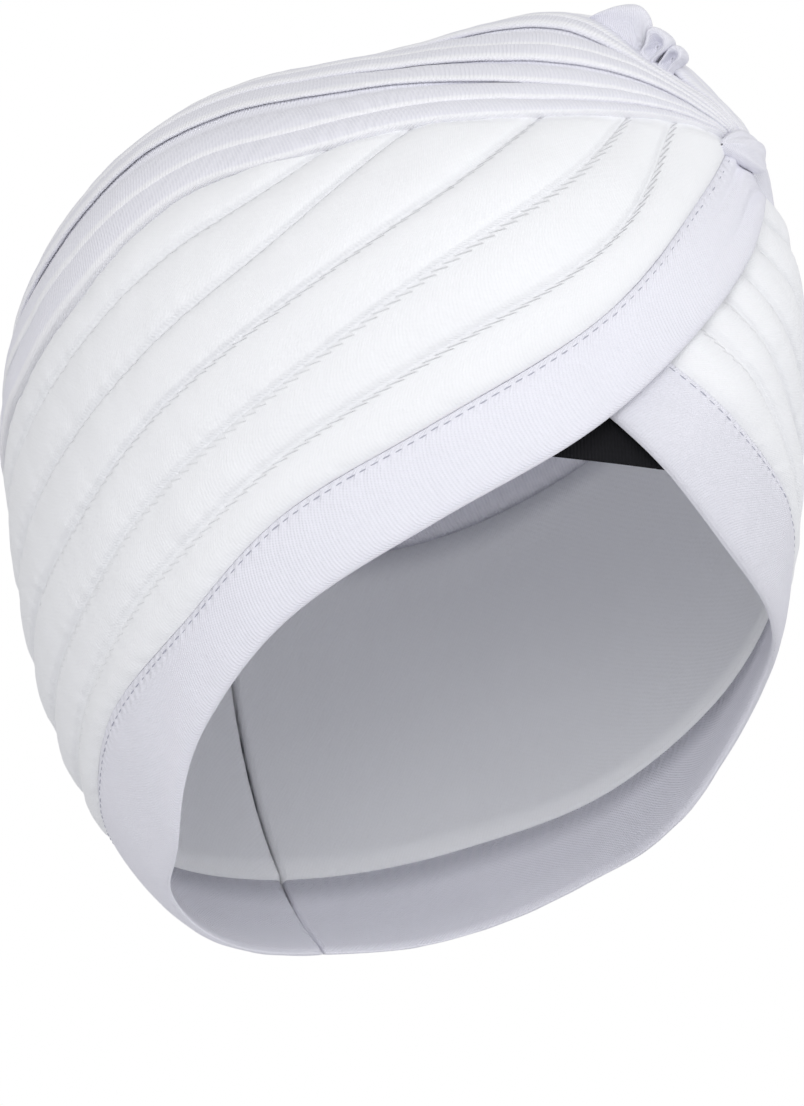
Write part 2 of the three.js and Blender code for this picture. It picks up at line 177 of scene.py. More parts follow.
def form_radius(way):
    """How far the form reaches in these directions from its own centre, in millimetres."""
    across = np.abs(way[..., 0]) / HALF_WIDTH
    along = np.abs(way[..., 1]) / np.where(way[..., 1] < 0, FRONT_REACH, BACK_REACH)
    rise = np.abs(way[..., 2]) / np.where(way[..., 2] > 0, TOP_RISE, BOTTOM_DROP)
    ring = (across ** PLAN_POWER + along ** PLAN_POWER) ** (1 / PLAN_POWER)
    radius = (ring ** SIDE_POWER + rise ** SIDE_POWER) ** (-1 / SIDE_POWER)
    for swell, azimuth, elevation, spread in SWELLS:
        angle = np.arccos(np.clip(way @ direction(azimuth, elevation), -1, 1))
        radius = radius + swell * np.exp(-((angle / math.radians(spread)) ** 2))
    return radius


def on_form(way, rise):
    """Points in millimetres, rise above the form in these directions."""
    spots = way * (form_radius(way) + rise)[..., None]
    spots[..., 2] -= CENTRE_DROP
    return spots


def smooth(x, low, high):
    """0 up to low, 1 from high on, and a smooth step between them."""
    t = np.clip((x - low) / (high - low), 0, 1)
    return t * t * (3 - 2 * t)


def line_at(elevations, azimuth):
    """A smooth line through the elevations at the stations."""
    x, y = np.array(STATIONS, float), np.array(elevations, float)
    slopes = np.diff(y) / np.diff(x)
    slopes = np.concatenate([slopes[:1], (slopes[:-1] + slopes[1:]) / 2, slopes[-1:]])
    azimuth = np.clip(azimuth, x[0], x[-1])
    k = np.clip(np.searchsorted(x, azimuth, side="right") - 1, 0, len(x) - 2)
    step = x[k + 1] - x[k]
    t = (azimuth - x[k]) / step
    start = y[k] * (1 + 2 * t) * (1 - t) ** 2 + slopes[k] * step * t * (1 - t) ** 2
    return start + y[k + 1] * t * t * (3 - 2 * t) + slopes[k + 1] * step * t * t * (t - 1)


# How deep the left side lies under the right one, in millimetres, the azimuth at which the right edge
# ends at the knot, and the slope at which it is carried on from there
UNDERLAP_DEPTH, EDGE_END, EDGE_SLOPE = 5.8, 44, 0.8


def underlap(azimuth, elevation):
    """How deep the left side lies under the right one where they cross, in millimetres."""
    past_knot = np.maximum(0, azimuth - EDGE_END)
    above = elevation - line_at(RIGHT_LINES["edge"][1], azimuth - past_knot) - past_knot * EDGE_SLOPE
    return UNDERLAP_DEPTH * smooth(above, -14, 8) * smooth(azimuth, -60, -30)


def on_side(side, azimuth, elevation, depth):
    """Points of the right side (-1) or the left one (1), this deep in the cloth. Both use the stations."""
    lap = underlap(-azimuth, elevation) if side > 0 else 0
    return on_form(direction(-side * azimuth, elevation), -depth - lap)


def grain(spots, size, seed=0.0):
    """Soft noise from -1 to 1 in the cloth, for dents and slack this many millimetres across."""
    flat = spots.reshape(-1, 3) / size + seed
    return np.array([noise.noise(Vector(spot)) for spot in flat]).reshape(spots.shape[:-1])


def lay_cloth(name, spots, maps=None):
    """A flat grid of cloth laid so that its rows and columns of vertices are at these spots, its last row
    on its first. The cloth map holds the metres along and across it, and maps are any others it needs."""
    rows, columns = spots.shape[0] - 1, spots.shape[1] - 1
    bpy.ops.object.select_all(action="DESELECT")
    bpy.ops.mesh.primitive_grid_add(x_subdivisions=columns, y_subdivisions=rows, size=1)
    piece = bpy.context.object
    piece.name = piece.data.name = name
    flat = np.empty(len(piece.data.vertices) * 3)
    piece.data.vertices.foreach_get("co", flat)
    flat = flat.reshape(-1, 3) + 0.5
    row = np.rint(flat[:, 1] * rows).astype(int)
    column = np.rint(flat[:, 0] * columns).astype(int)
    placed = spots[row, column] / 1000
    piece.data.vertices.foreach_set("co", placed.ravel())
    corner = np.empty(len(piece.data.loops), int)
    piece.data.loops.foreach_get("vertex_index", corner)
    along = np.linalg.norm(np.diff(spots, axis=1, prepend=spots[:, :1]), axis=-1).cumsum(axis=1)
    across = np.linalg.norm(np.diff(spots, axis=0, prepend=spots[:1]), axis=-1).cumsum(axis=0)
    piece.data.uv_layers[0].name = "cloth"
    for title, values in {"cloth": np.stack([along, across], axis=-1) / 1000, **(maps or {})}.items():
        layer = piece.data.uv_layers.get(title) or piece.data.uv_layers.new(name=title)
        layer.data.foreach_set("uv", values[row, column][corner].ravel())
    bpy.ops.object.mode_set(mode="EDIT")
    bpy.ops.mesh.select_all(action="SELECT")
    bpy.ops.mesh.remove_doubles(threshold=0.00002)
    bpy.ops.mesh.normals_make_consistent(inside=False)
    bpy.ops.object.mode_set(mode="OBJECT")
    bpy.ops.object.shade_smooth()
    return piece


def jersey(name, colour, shade, rib_mm, rib_depth_mm, roughness, lean=0.0, fuzz_sheen=0.1):
    """Cotton jersey, knitted in fine ribs and left matt: soft and slightly fuzzy. The gaps between the ribs
    are painted darker as shade, and slack and fuzz vary the tone at random. What a finish adds on top goes
    into the material's tree afterwards."""
    material = bpy.data.materials.new(name)
    material.use_nodes = True
    tree = material.node_tree
    surface = tree.nodes["Principled BSDF"]
    surface.inputs["Roughness"].default_value = roughness
    surface.inputs["Sheen Weight"].default_value = fuzz_sheen
    surface.inputs["Sheen Roughness"].default_value = 0.6
    surface.inputs["Specular IOR Level"].default_value = 0.25
    cloth = add_node(tree, "UVMap", {"uv_map": "cloth"}).outputs["UV"]
    ribs = add_node(tree, "Mapping", Vector=cloth, Rotation=(0, 0, lean), Scale=(1000 / rib_mm,) * 3)
    wave = {"wave_type": "BANDS", "bands_direction": "X", "wave_profile": "SIN"}
    # A wave repeats once for each unit at a scale of pi / 10
    across = add_node(tree, "TexWave", wave, Vector=ribs.outputs[0], Scale=math.pi / 10, Distortion=0.6,
                      Detail=1.0, Detail_Scale=0.4)
    wave["bands_direction"] = "Y"
    along = add_node(tree, "TexWave", wave, Vector=ribs.outputs[0], Scale=math.pi / 16, Distortion=1.2,
                     Detail=1.0, Detail_Scale=0.6)
    loops = add_node(tree, "Math", {"operation": "MULTIPLY"}, _0=along.outputs["Fac"], _1=0.35)
    knit = add_node(tree, "Math", {"operation": "ADD"}, _0=across.outputs["Fac"], _1=loops.outputs[0])
    place = add_node(tree, "TexCoord").outputs["Object"]
    fuzz = add_node(tree, "TexNoise", Vector=place, Scale=900, Detail=3.0, Roughness=0.6)
    slack = add_node(tree, "TexNoise", Vector=place, Scale=60, Detail=4.0, Roughness=0.55)
    # Painted shade: the knit's gaps pull the colour towards the shade colour; slack and fuzz add random tone
    tone = add_node(tree, "Math", {"operation": "MULTIPLY_ADD"}, _0=knit.outputs[0], _1=0.32, _2=0.28)
    tone = add_node(tree, "Math", {"operation": "MULTIPLY_ADD"}, _0=slack.outputs["Fac"], _1=0.35,
                    _2=tone.outputs[0])
    tone = add_node(tree, "Math", {"operation": "MULTIPLY_ADD", "use_clamp": True}, _0=fuzz.outputs["Fac"],
                    _1=0.3, _2=tone.outputs[0])
    mixed = add_node(tree, "Mix", {"data_type": "RGBA"}, Factor=tone.outputs[0])
    mixed.inputs[6].default_value = linear(shade)
    mixed.inputs[7].default_value = linear(colour)
    bump = add_node(tree, "Bump", Height=knit.outputs[0], Strength=1.0, Distance=rib_depth_mm / 1000)
    soft_bump = add_node(tree, "Bump", Height=fuzz.outputs["Fac"], Strength=0.5, Distance=0.0002,
                         Normal=bump.outputs[0])
    tree.links.new(mixed.outputs[2], surface.inputs["Base Color"])
    tree.links.new(soft_bump.outputs[0], surface.inputs["Normal"])
    return material


# Millimetres: one stitch of the quilting, the soft slope above a line and the longest tooth below it
STITCH_MM, SOFT_SLOPE_MM, TOOTH_MM = 3.1, 2.4, 1.4
# Lines are numbered from the hem, 0, to the crown seam, 6, and the lining is numbered 0.5 all over. None
# of these has teeth, so the teeth keep between these numbers.
FIRST_TOOTHED, LAST_TOOTHED = 0.501, 5.5


def quilted_jersey():
    """Jersey quilted by machine. Above a stitched line the cloth slopes softly down to it. Below the line
    each stitch pulls the cloth up in a small slanted tooth, so that side is steep and finely toothed."""
    material = jersey("quilted_cotton_jersey", "#F6F7FA", "#EFF0F4", 0.7, 0.04, 0.93, lean=0.6)
    tree = material.node_tree
    surface = tree.nodes["Principled BSDF"]
    line = add_node(tree, "SeparateXYZ", Vector=add_node(tree, "UVMap", {"uv_map": "line"}).outputs["UV"])
    width = add_node(tree, "SeparateXYZ", Vector=add_node(tree, "UVMap", {"uv_map": "width"}).outputs["UV"])
    shifted = add_node(tree, "Math", {"operation": "ADD"}, _0=line.outputs["Y"], _1=0.5)
    wrapped = add_node(tree, "Math", {"operation": "FRACT"}, _0=shifted.outputs[0])
    centred = add_node(tree, "Math", {"operation": "SUBTRACT"}, _0=wrapped.outputs[0], _1=0.5)
    above = add_node(tree, "Math", {"operation": "MULTIPLY"}, _0=centred.outputs[0], _1=width.outputs["X"])
    slope = add_node(tree, "MapRange", {"interpolation_type": "SMOOTHSTEP"}, Value=above.outputs[0],
                     From_Min=0.0, From_Max=SOFT_SLOPE_MM)
    saw = add_node(tree, "Math", {"operation": "FRACT"}, _0=line.outputs["X"])
    toothed = add_node(tree, "Math", {"operation": "MULTIPLY_ADD"}, _0=saw.outputs[0], _1=TOOTH_MM,
                       _2=above.outputs[0])
    cliff = add_node(tree, "MapRange", {"interpolation_type": "SMOOTHSTEP"}, Value=toothed.outputs[0],
                     From_Min=0.1, From_Max=-0.7)
    height = add_node(tree, "Math", {"operation": "MAXIMUM"}, _0=slope.outputs[0], _1=cliff.outputs[0])
    # The stitching draws the cloth in less where the channels narrow towards the knot, so the painted shade
    # in the grooves is lighter there too
    shallow = add_node(tree, "MapRange", Value=width.outputs["X"], From_Min=9.0, From_Max=17.0, To_Min=0.75,
                       To_Max=0.0)
    height = add_node(tree, "Math", {"operation": "MAXIMUM"}, _0=height.outputs[0], _1=shallow.outputs[0])
    past_hem = add_node(tree, "Math", {"operation": "LESS_THAN"}, _0=line.outputs["Y"], _1=FIRST_TOOTHED)
    past_seam = add_node(tree, "Math", {"operation": "GREATER_THAN"}, _0=line.outputs["Y"], _1=LAST_TOOTHED)
    height = add_node(tree, "Math", {"operation": "ADD"}, _0=height.outputs[0], _1=past_hem.outputs[0])
    height = add_node(tree, "Math", {"operation": "ADD", "use_clamp": True}, _0=height.outputs[0],
                      _1=past_seam.outputs[0])
    bump = add_node(tree, "Bump", Height=height.outputs[0], Strength=0.8, Distance=0.0005,
                    Normal=surface.inputs["Normal"].links[0].from_socket)
    tree.links.new(bump.outputs[0], surface.inputs["Normal"])
    # Painted shade: the grooves and the steep teeth below each line are mixed up to 8% towards a grey
    plain = surface.inputs["Base Color"].links[0].from_socket
    shade = add_node(tree, "MapRange", Value=height.outputs[0], From_Min=0.0, From_Max=0.5, To_Min=0.08,
                     To_Max=0.0)
    mixed = add_node(tree, "Mix", {"data_type": "RGBA"}, Factor=shade.outputs[0])
    tree.links.new(plain, mixed.inputs[6])
    mixed.inputs[7].default_value = linear("#C9CAD4")
    tree.links.new(mixed.outputs[2], surface.inputs["Base Color"])
    return material


# Millimetres: depth of the stitched lines and the lining, and how far the wadding lifts a channel
STITCH_DEPTH, LINING_DEPTH, CHANNEL_PUFF, SLOPE_LENGTH = 1.4, 4.2, 2.0, 2.6
# Shares of a channel at which the cloth has a row, closer together beside the stitching
CHANNEL_ROWS = [0, 0.03, 0.07, 0.12, 0.19, 0.28, 0.39, 0.5, 0.61, 0.72, 0.81, 0.88, 0.93, 0.97]
PANEL_COLUMNS, LINING_ROWS = 300, 13


def quilted_panel(name, lines, side):
    """A padded panel: quilted channels outside, a plain lining inside, closed at every edge."""
    names = [line for line in lines if line != "edge"]
    last = len(names) - 1
    places = [k + share for k in range(last) for share in CHANNEL_ROWS] + [last]
    along = np.linspace(0, 1, PANEL_COLUMNS + 1)[None, :]
    place = np.array(places, float)[:, None]

    def spots_at(place, depth):
        k = np.minimum(place.astype(int), last - 1)
        share = place - k
        cuts = np.array([lines[line][0] for line in names], float)
        cut = cuts[k] * (1 - share) + cuts[k + 1] * share
        azimuth = NAPE + (cut - NAPE) * along

        def between(azimuth):
            lower = np.array([line_at(lines[names[i]][1], azimuth[r]) for r, i in enumerate(k[:, 0])])
            upper = np.array([line_at(lines[names[i + 1]][1], azimuth[r]) for r, i in enumerate(k[:, 0])])
            return lower * (1 - share) + upper * share

        elevation = between(azimuth)
        if side < 0:
            lift = line_at(lines["seam"][1], cut) - between(cut)
            elevation = elevation + lift * smooth(azimuth, cut - 18, cut)
        return on_side(side, azimuth, elevation, depth)

    flat = spots_at(place, np.full((len(places), PANEL_COLUMNS + 1), STITCH_DEPTH))
    across = np.linalg.norm(np.diff(flat, axis=0, prepend=flat[:1]), axis=-1).cumsum(axis=0)
    stitched = across[::len(CHANNEL_ROWS)]
    gap = across[None] - stitched[:, None]
    nearest = np.abs(gap).argmin(axis=0)
    distance = np.take_along_axis(gap, nearest[None], axis=0)[0]
    length = np.linalg.norm(np.diff(flat, axis=1, prepend=flat[:, :1]), axis=-1).cumsum(axis=1)
    share = place - np.floor(place)
    ends = smooth(along, 0, 0.03) * (1 - smooth(along, 0.985, 1))
    near = np.sqrt(distance ** 2 + 0.3 ** 2) - 0.3
    puff = CHANNEL_PUFF * (1 - np.exp(-near / SLOPE_LENGTH)) * (0.35 + 0.65 * ends)
    slack = 0.4 * grain(flat, 16) + 0.22 * grain(flat, 7, 7.0)
    wrinkle = grain(np.stack([length / 3.4, distance / 9, nearest * 5.0], axis=-1), 1.0, 3.0)
    pulled = np.exp(-near / 3.5) * np.minimum(1, near / 0.6) * np.minimum(1, 4 * np.abs(share - 0.5))
    depth = STITCH_DEPTH - puff - slack * np.minimum(1, 8 * share * (1 - share)) - 0.55 * wrinkle * pulled
    outer = spots_at(place, depth)
    inner_place = np.linspace(0, last, LINING_ROWS)[:, None]
    inner = spots_at(inner_place, np.full((LINING_ROWS, PANEL_COLUMNS + 1), LINING_DEPTH))
    rows = np.rint(np.linspace(0, len(places) - 1, LINING_ROWS)).astype(int)
    for end in (0, -1):
        inner[:, end] = outer[rows, end]
    loop = np.concatenate([outer, inner[::-1], outer[:1]])
    if side > 0:
        loop = loop[::-1]
    own_line = np.rint(place[:, 0]).astype(int) * len(CHANNEL_ROWS)
    counted, line = np.broadcast_arrays(length[own_line] / STITCH_MM, place)
    width = np.diff(stitched, axis=0)[np.minimum(place.astype(int)[:, 0], last - 1)]
    lining = np.full((LINING_ROWS, PANEL_COLUMNS + 1), 0.5)

    def padded_out(values):
        rows = np.concatenate([values, lining, values[:1]])
        return rows[::-1] if side > 0 else rows

    maps = {
        "line": np.stack([padded_out(counted), padded_out(line)], axis=-1),
        "width": np.stack([padded_out(width), padded_out(width)], axis=-1),
    }
    return lay_cloth(name, loop, maps)


quilt = quilted_jersey()
right_panel = quilted_panel("quilted_right_panel", RIGHT_LINES, -1)
right_panel.data.materials.append(quilt)
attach(right_panel, "root")
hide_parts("right_panel")

# Left panel
# The same quilted jersey, cut a little shorter. It is caught in the seam at the nape and in the crown
# seam, and its front end runs on under the right panel, where the knot holds it.
LEFT_LINES = {
    "edge": (16, [-65, -65.5, -62.5, -57, -39.5, -31.5, -22, -5.5, 12, 30]),
    "hem": (8, [-52, -51.5, -50, -42, -29, -17, -6.5, 8, 22, 36]),
    "quilt_a": (0, [-46, -46, -45, -36.5, -24, -12, 2.5, 17, 31, 45]),
    "quilt_b": (-7, [-39, -40, -37.5, -28.5, -15, -4.5, 11, 26, 38, 50]),
    "quilt_c": (-16, [-32.5, -33, -28, -18, -4.5, 5, 20, 34, 46, 58]),
    "quilt_d": (-26, [-26, -26.5, -18, -6.5, 6, 16, 31, 44, 54, 64]),
    "quilt_e": (-36, [-20, -18.5, -6.5, 6, 17, 25, 38, 50, 60, 70]),
    "seam": (-45, [-13, -10.5, 1.5, 14.5, 26, 32, 42, 52, 60, 70]),
}

left_panel = quilted_panel("quilted_left_panel", LEFT_LINES, 1)
left_panel.data.materials.append(quilt)
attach(left_panel, "root")
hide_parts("left_panel")

# Hem bands
# A strip of plain jersey folded double round the lower edge of each panel and topstitched to it in grey
# thread. The right one runs over the brow up to the knot, where the gathers pull soft folds into it.
HEM_PROFILE = [
    (0.0, 2.3), (0.0, 1.9), (0.02, 1.4), (0.06, 0.95), (0.12, 0.68), (0.2, 0.5), (0.3, 0.4),
    (0.4, 0.36), (0.5, 0.36), (0.6, 0.36), (0.7, 0.36), (0.8, 0.4), (0.88, 0.5), (0.94, 0.68),
    (0.98, 0.95), (1.005, 1.25), (1.005, 2.9), (0.7, 2.9), (0.4, 2.9), (0.08, 2.9), (0.0, 2.3),
]
HEM_ROWS, HEM_COLUMNS = 64, 340
# Points of the profile, counted from 0: the last of the outer face, and where the topstitching runs
FACE_END, TOPSTITCH_AT = 15, 13.2
TOPSTITCH_MM = 3.0
# How deep the closed ends lie, in millimetres, and the azimuth at which the right hem's upper edge ends
CLOSED_DEPTH, RIGHT_HEM_END = 1.6, 42
# Folds near the knot: share across the band, depth and half width in millimetres, length in degrees
KNOT_FOLDS = [(0.76, 1.3, 1.5, 32), (0.38, 1.6, 1.7, 26), (0.57, 0.7, 1.1, 14)]


def hem_band(name, lines, side):
    """A hem band, and where its topstitching runs: spots along it and the ways out of the cloth there."""
    hem_cut, edge_cut = lines["hem"][0], lines["edge"][0]
    upper_cut = RIGHT_HEM_END if side < 0 else hem_cut
    steps = np.concatenate([np.linspace(0, FACE_END, HEM_ROWS), np.arange(FACE_END + 1, len(HEM_PROFILE))])
    place, depth = (np.interp(steps, range(len(HEM_PROFILE)), part)[:, None] for part in zip(*HEM_PROFILE))
    along = np.linspace(0, 1, HEM_COLUMNS + 1)[None, :]
    azimuth = NAPE + (edge_cut + (upper_cut - edge_cut) * place - NAPE) * along
    upper = line_at(lines["hem"][1], azimuth)
    if side < 0:
        lift = line_at(lines["seam"][1], hem_cut) - line_at(lines["hem"][1], hem_cut)
        upper = upper + lift * smooth(azimuth, hem_cut - 18, hem_cut)
        upper = np.where(azimuth > hem_cut, line_at(lines["seam"][1], azimuth), upper)
    lower = line_at(lines["edge"][1], azimuth)
    elevation = lower + (upper - 0.1 - lower) * place
    # The band is closed flat at both ends
    ends = smooth(along, 0, 0.004) * (1 - smooth(along, 0.996, 1))
    depth = CLOSED_DEPTH + (depth - CLOSED_DEPTH) * ends
    spots = on_side(side, azimuth, elevation, depth)
    wave = 0.35 * grain(spots, 22, 5.0) + 0.16 * grain(spots, 7, 2.0)
    if side < 0:
        width = np.linalg.norm(spots[HEM_ROWS - 1] - spots[1], axis=-1)[None, :]
        for share, sink, half_width, reach in KNOT_FOLDS:
            fold = np.exp(-((place - share) * width / half_width) ** 2)
            wave = wave - sink * fold * smooth(azimuth, upper_cut - reach, upper_cut - 2)
    face = (steps < FACE_END + 0.5)[:, None] & (depth < 1.5)
    spots = on_side(side, azimuth, elevation, depth - np.where(face, wave * ends, 0))
    row = int(np.abs(steps - TOPSTITCH_AT).argmin())
    run = np.linalg.norm(np.diff(spots[row], axis=0, prepend=spots[row, :1]), axis=-1).cumsum()
    counted, across = np.broadcast_arrays(run[None, :] / TOPSTITCH_MM, place)
    maps = {"line": np.stack([counted, across], axis=-1)}
    seam = (run, spots[row], direction(-side * azimuth[row], elevation[row]))
    if side > 0:
        spots, maps = spots[::-1], {"line": maps["line"][::-1]}
    return lay_cloth(name, spots, maps), seam


def topstitched_jersey():
    """Plain jersey in a fine slanting knit, pulled into small puckers by the stitches beside its seam."""
    material = jersey("plain_cotton_jersey", "#F0F0F9", "#E4E4EE", 0.55, 0.09, 0.88, lean=0.9)
    tree = material.node_tree
    surface = tree.nodes["Principled BSDF"]
    line = add_node(tree, "SeparateXYZ", Vector=add_node(tree, "UVMap", {"uv_map": "line"}).outputs["UV"])
    turn = add_node(tree, "Math", {"operation": "MULTIPLY"}, _0=line.outputs["X"], _1=2 * math.pi)
    wave = add_node(tree, "Math", {"operation": "COSINE"}, _0=turn.outputs[0])
    near = add_node(tree, "MapRange", {"interpolation_type": "SMOOTHSTEP"}, Value=line.outputs["Y"],
                    From_Min=0.8, From_Max=0.95)
    pucker = add_node(tree, "Math", {"operation": "MULTIPLY"}, _0=wave.outputs[0], _1=near.outputs[0])
    bump = add_node(tree, "Bump", Height=pucker.outputs[0], Strength=0.6, Distance=0.0002,
                    Normal=surface.inputs["Normal"].links[0].from_socket)
    tree.links.new(bump.outputs[0], surface.inputs["Normal"])
    return material


def topstitching(name, run, spots, outward, sunk_from):
    """One short stitch of thread, modelled once and copied all along the seam, half sunk in the cloth.
    Past this share of the seam the puckered cloth closes over it."""
    bpy.ops.object.select_all(action="DESELECT")
    bpy.ops.mesh.primitive_uv_sphere_add(segments=8, ring_count=6, radius=1)
    first = bpy.context.object
    first.name = first.data.name = name
    bpy.ops.object.shade_smooth()
    plain = first.data.copy()
    middles = np.arange(1.5, run[-1] - 1.5, TOPSTITCH_MM)
    # Each stitch lies a little longer, lower or further over than the next
    shakes = [[noise.noise(Vector((number * 0.73, 9.0 * k, 0))) for k in range(3)]
              for number in range(len(middles))]
    for number, middle in enumerate(middles):
        at, ahead = (np.array([np.interp(middle + step, run, part) for part in spots.T]) for step in (0, 0.5))
        out = np.array([np.interp(middle, run, part) for part in outward.T])
        thread = (ahead - at) / np.linalg.norm(ahead - at)
        side = np.cross(out, thread)
        side = side / np.linalg.norm(side)
        longer, over, lower = shakes[number]
        sizes = (1.0 + 0.3 * longer, 0.17, 0.17)
        axes = [axis * size for axis, size in zip((thread, side, np.cross(thread, side)), sizes)]
        placed = Matrix(np.array(axes).T / 1000).to_4x4()
        sunk = 0.2 * lower + 0.14 * smooth(middle / run[-1], sunk_from, sunk_from + 0.15)
        placed.translation = Vector((at + side * 0.3 * over - out * sunk) / 1000)
        stitch = first if number == 0 else bpy.data.objects.new(name, plain.copy())
        stitch.data.transform(placed)
        if number:
            bpy.context.collection.objects.link(stitch)
        stitch.select_set(True)
    bpy.context.view_layer.objects.active = first
    bpy.ops.object.join()
    return first


hem_jersey = topstitched_jersey()
grey_thread = jersey("grey_spun_cotton_thread", "#BDBECA", "#9D9EAD", 0.25, 0.03, 0.8, lean=0.5)
right_hem, right_seam = hem_band("right_hem_band", RIGHT_LINES, -1)
left_hem, left_seam = hem_band("left_hem_band", LEFT_LINES, 1)
for hem, node, flat, seam, sunk_from in (
    (right_hem, "right_hem", (0.024, 0.42), right_seam, 0.7),
    (left_hem, "left_hem", (0.024, 0.33), left_seam, 1.0),
):
    hem.data.materials.append(hem_jersey)
    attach(hem, "root")
    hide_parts(node)
    thread = topstitching(node + "_topstitching", *seam, sunk_from)
    thread.data.materials.append(grey_thread)
    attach(thread, "root")

# Crown
# One wide piece of thin jersey laid in fourteen knife pleats. The pleats fan out from the knot over the
# top of the head and are gathered again into the seam at the back, each lapping the one below it.
PLEATS = 14
FAN_CROWDING = 1.15
KNOT_EDGE = {"right": 38, "left": 46, "middle": (43, 31)}
CREST_PULL = (-90, 78)
BACK_EDGE = {"right": -168, "left": 168, "middle": (180, -11.5)}
# One pleat from its hidden crease round the fold edge and up its flat: share of a pleat, height in mm
PLEAT_PROFILE = [
    (0.12, -1.0), (0.1, -0.8), (0.04, -0.6), (-0.02, -0.4), (-0.045, -0.05), (-0.03, 0.4), (0.03, 0.75),
    (0.12, 0.95), (0.3, 1.0), (0.5, 0.9), (0.7, 0.6), (0.85, 0.1), (0.94, -0.4), (1.0, -0.75), (1.07, -0.95),
]
# The lowest pleat has no crease of its own: its edge turns straight down into the seam
SEAM_PROFILE = [(0, -2.2), (0, -1.2), (0, -0.3), (0, 0.3)]
CROWN_COLUMNS, UNDERSIDE_ROWS = 260, 37
CROWN_DEPTH, TUCK_DEPTH, SEAM_LAP = 3.0, 4.0, 0.2


def arc(start, end, share):
    """Directions at these shares of the shortest way from start to end."""
    angle = np.arccos(np.clip((start * end).sum(axis=-1), -1, 1))[..., None]
    share = np.asarray(share)[..., None]
    return (np.sin((1 - share) * angle) * start + np.sin(share * angle) * end) / np.sin(angle)


def crown_direction(across, along):
    """Directions on the crown: across runs from the right seam over the top, along from the knot back."""
    right_azimuth = KNOT_EDGE["right"] + (BACK_EDGE["right"] - KNOT_EDGE["right"]) * along
    left_azimuth = KNOT_EDGE["left"] + (BACK_EDGE["left"] - KNOT_EDGE["left"]) * along
    right = direction(right_azimuth, line_at(RIGHT_LINES["seam"][1], right_azimuth) - SEAM_LAP)
    left = direction(left_azimuth, line_at(LEFT_LINES["seam"][1], -left_azimuth) - SEAM_LAP)
    guides = (KNOT_EDGE["middle"], CREST_PULL, BACK_EDGE["middle"])
    front, top, back = (np.broadcast_to(direction(*guide), along.shape + (3,)) for guide in guides)
    middle = arc(arc(front, top, along), arc(top, back, along), along)
    low = arc(right, middle, np.clip(across * 2, 0, 1))
    high = arc(middle, left, np.clip(across * 2 - 1, 0, 1))
    way = np.where((across < 0.5)[..., None], low, high)
    return way / np.linalg.norm(way, axis=-1, keepdims=True)


def pleated_crown(name):
    """The crown: its pleats outside, its plain underside inside, closed flat at both ends."""
    along = np.linspace(0, 1, CROWN_COLUMNS + 1)[None, :]
    rows = [(share, height, 0) for share, height in SEAM_PROFILE + PLEAT_PROFILE[6:]]
    rows += [(k + share, height, k) for k in range(1, PLEATS) for share, height in PLEAT_PROFILE]
    rows = [row for row in rows if row[0] <= PLEATS]
    pleat = np.array([row[0] for row in rows])[:, None]
    height = np.array([row[1] for row in rows])[:, None]
    number = np.array([row[2] for row in rows])[:, None]
    # Hand-laid pleats: each is a little wider, narrower, higher or flatter than the next
    wander = 0.2 * np.sin(number * 2.4 + 5 * along) + 0.08 * np.sin(number * 5.1 + 9 * along + 1)
    wander = wander * np.minimum(1, np.minimum(pleat, PLEATS - pleat))
    taller = 1 + 0.2 * np.sin(number * 1.7 + 3 * along) + 0.15 * np.sin(number * 3.9 + 8 * along)
    share = (pleat + wander) / PLEATS
    power = FAN_CROWDING + (1 - FAN_CROWDING) * smooth(along, 0.4, 0.6)
    edge = 1 - np.abs(2 * share - 1)
    across = 0.5 + np.sign(share - 0.5) * 0.5 * (1 - np.clip(edge, 0, 1) ** power)
    across, along_all = np.broadcast_arrays(across, along)
    way = crown_direction(across, along_all)
    base = on_form(way, np.zeros(way.shape[:-1]))
    # The narrow pleats by the knot are shallower, and the front edge is tucked in under the roll
    rise = np.where(height > 0, height * taller, height) * (0.4 + 0.6 * smooth(along, 0, 0.2))
    rise = rise + 0.3 * grain(base, 16, 9.0) + 0.15 * grain(base, 5, 4.0)
    tuck = TUCK_DEPTH * (1 - smooth(along, 0, 0.03))
    ends = smooth(along, 0, 0.006) * (1 - smooth(along, 0.994, 1))
    rise = np.maximum(rise, -CROWN_DEPTH + 0.5) * ends - (1 - ends) * CROWN_DEPTH / 2
    # Down the left seam it is sewn to the left panel, which lies deeper near the knot
    azimuth, elevation = np.degrees(np.arctan2(way[..., 0], -way[..., 1])), np.degrees(np.arcsin(way[..., 2]))
    sink = underlap(azimuth, elevation) * smooth(across, 0.95, 1)
    outer = on_form(way, rise - np.maximum(tuck, sink))
    back_share = np.linspace(0, 1, UNDERSIDE_ROWS)[:, None]
    back_across, back_along = np.broadcast_arrays(back_share, along)
    inner_rise = -CROWN_DEPTH * (0.5 + 0.5 * ends) - tuck
    inner = on_form(crown_direction(back_across, back_along), np.broadcast_to(inner_rise, back_across.shape))
    loop = np.concatenate([outer, inner[::-1], outer[:1]])
    share_of_pleat = np.broadcast_to(pleat - number, across.shape)
    folds = np.concatenate([share_of_pleat, np.full(back_across.shape, 0.5), share_of_pleat[:1]])
    return lay_cloth(name, loop[::-1], {"fold": np.stack([folds, folds], axis=-1)[::-1]})


